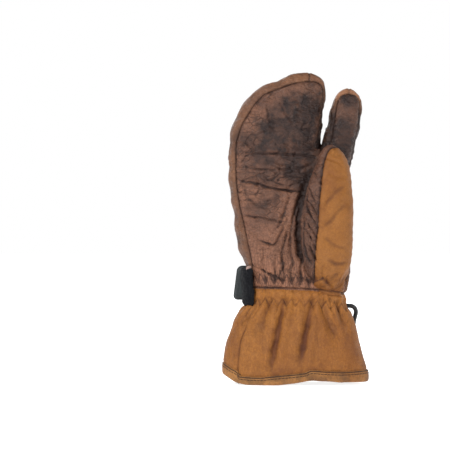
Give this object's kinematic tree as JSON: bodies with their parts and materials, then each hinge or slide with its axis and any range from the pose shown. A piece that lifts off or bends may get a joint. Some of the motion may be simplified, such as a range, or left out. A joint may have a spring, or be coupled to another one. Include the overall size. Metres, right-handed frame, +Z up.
{
  "type": "three-finger ski glove",
  "caption": "Insulated leather ski glove with a shared pocket for three fingers, a separate index finger and thumb, a gauntlet cuff, a wrist strap and a snap hook.",
  "frame": {"origin": "on the ground under the middle of the glove's box, the cuff's hem standing on the ground", "axes": "+Z up, from the cuff to the fingertips; -Y out of the palm; +X towards the thumb and index finger"},
  "size_m": [0.1484, 0.0826, 0.312],
  "materials": {
    "tan_leather": "smooth tan cowhide, waxed, with wear and dark stains",
    "brown_leather": "dark brown grained goatskin, darkened by use",
    "insulation": "matte polyester wadding",
    "fleece_lining": "brushed grey fleece",
    "elastic": "woven rubber-cored elastic",
    "loop_pile": "black loop pile",
    "hook_tape": "moulded slate-grey hook tape",
    "hook_backing": "black woven tape",
    "black_metal": "black powder-coated die-cast metal",
    "steel_wire": "bright steel wire"
  },
  "bodies": {
    "cuff": {"cuff_front_panel": "tan_leather", "cuff_back_panel": "tan_leather", "cuff_side_panel": "tan_leather", "lower_wrist_elastic": "elastic", "cuff_insulation": "insulation", "cuff_lining": "fleece_lining", "cuff_hem": "tan_leather", "clip_loop": "brown_leather", "wrist_fold_front": "tan_leather", "wrist_fold_back": "tan_leather"},
    "hand": {"wrist_band_front": "tan_leather", "wrist_band_back": "tan_leather", "wrist_pile_panel": "loop_pile", "palm_panel": "brown_leather", "index_palm_root": "brown_leather", "ulnar_gusset": "brown_leather", "radial_gusset": "tan_leather", "index_side_root": "brown_leather", "back_panel": "tan_leather", "knuckle_panel": "brown_leather", "index_back_root": "brown_leather", "upper_wrist_elastic": "elastic", "hand_insulation": "insulation", "hand_lining": "fleece_lining", "thumb_root_panel": "tan_leather", "thumb_root_insulation": "insulation", "mitten_crease": "brown_leather", "index_crease": "brown_leather", "wrist_strap": "tan_leather"},
    "mitten": {"mitten_palm_panel": "brown_leather", "mitten_back_panel": "brown_leather", "mitten_gusset": "brown_leather", "mitten_insulation": "insulation", "mitten_lining": "fleece_lining"},
    "index": {"index_palm_panel": "brown_leather", "index_back_panel": "brown_leather", "index_gusset": "brown_leather", "index_insulation": "insulation", "index_lining": "fleece_lining"},
    "thumb": {"thumb_outer_panel": "tan_leather", "thumb_inner_panel": "brown_leather", "thumb_insulation": "insulation", "thumb_lining": "fleece_lining"},
    "strap_end": {"strap_tab": "hook_backing", "strap_hook_pad": "hook_tape"},
    "clip": {"clip_frame": "black_metal", "clip_gate_pin": "steel_wire"},
    "gate": {"clip_gate": "steel_wire"}
  },
  "joints": [
    {"name": "wrist_bend", "type": "hinge", "parent": "cuff", "child": "hand", "pos_m": [0, 0.0103, 0.08], "axis": [1, 0, 0], "range_deg": [-20, 20], "stiffness_Nm_per_rad": 3, "deforming": ["wrist_fold_front", "wrist_fold_back"]},
    {"name": "mitten_curl", "type": "hinge", "parent": "hand", "child": "mitten", "pos_m": [0, 0.0103, 0.251], "axis": [1, 0, 0], "range_deg": [0, 60], "stiffness_Nm_per_rad": 0.5, "deforming": ["mitten_crease"]},
    {"name": "index_curl", "type": "hinge", "parent": "hand", "child": "index", "pos_m": [0, 0.0103, 0.251], "axis": [1, 0, 0], "range_deg": [0, 60], "stiffness_Nm_per_rad": 0.3, "deforming": ["index_crease"]},
    {"name": "thumb_open", "type": "hinge", "parent": "hand", "child": "thumb", "pos_m": [0.04575, -0.0352, 0.124], "axis": [0.8575, 0.5145, 0], "range_deg": [0, 35], "stiffness_Nm_per_rad": 0.5},
    {"name": "strap_peel", "type": "hinge", "parent": "hand", "child": "strap_end", "pos_m": [-0.03345, 0.0337, 0.1025], "axis": [0, 0, -1], "range_deg": [0, 80], "stiffness_Nm_per_rad": 0.02},
    {"name": "clip_swing", "type": "hinge", "parent": "cuff", "child": "clip", "pos_m": [0.04825, 0.0353, 0.065], "axis": [0, 0, 1], "range_deg": [0, 75]},
    {"name": "gate_open", "type": "hinge", "parent": "clip", "child": "gate", "pos_m": [0.04825, 0.0353, 0.051], "axis": [0, 1, 0], "range_deg": [0, 30], "stiffness_Nm_per_rad": 0.01}
  ]
}
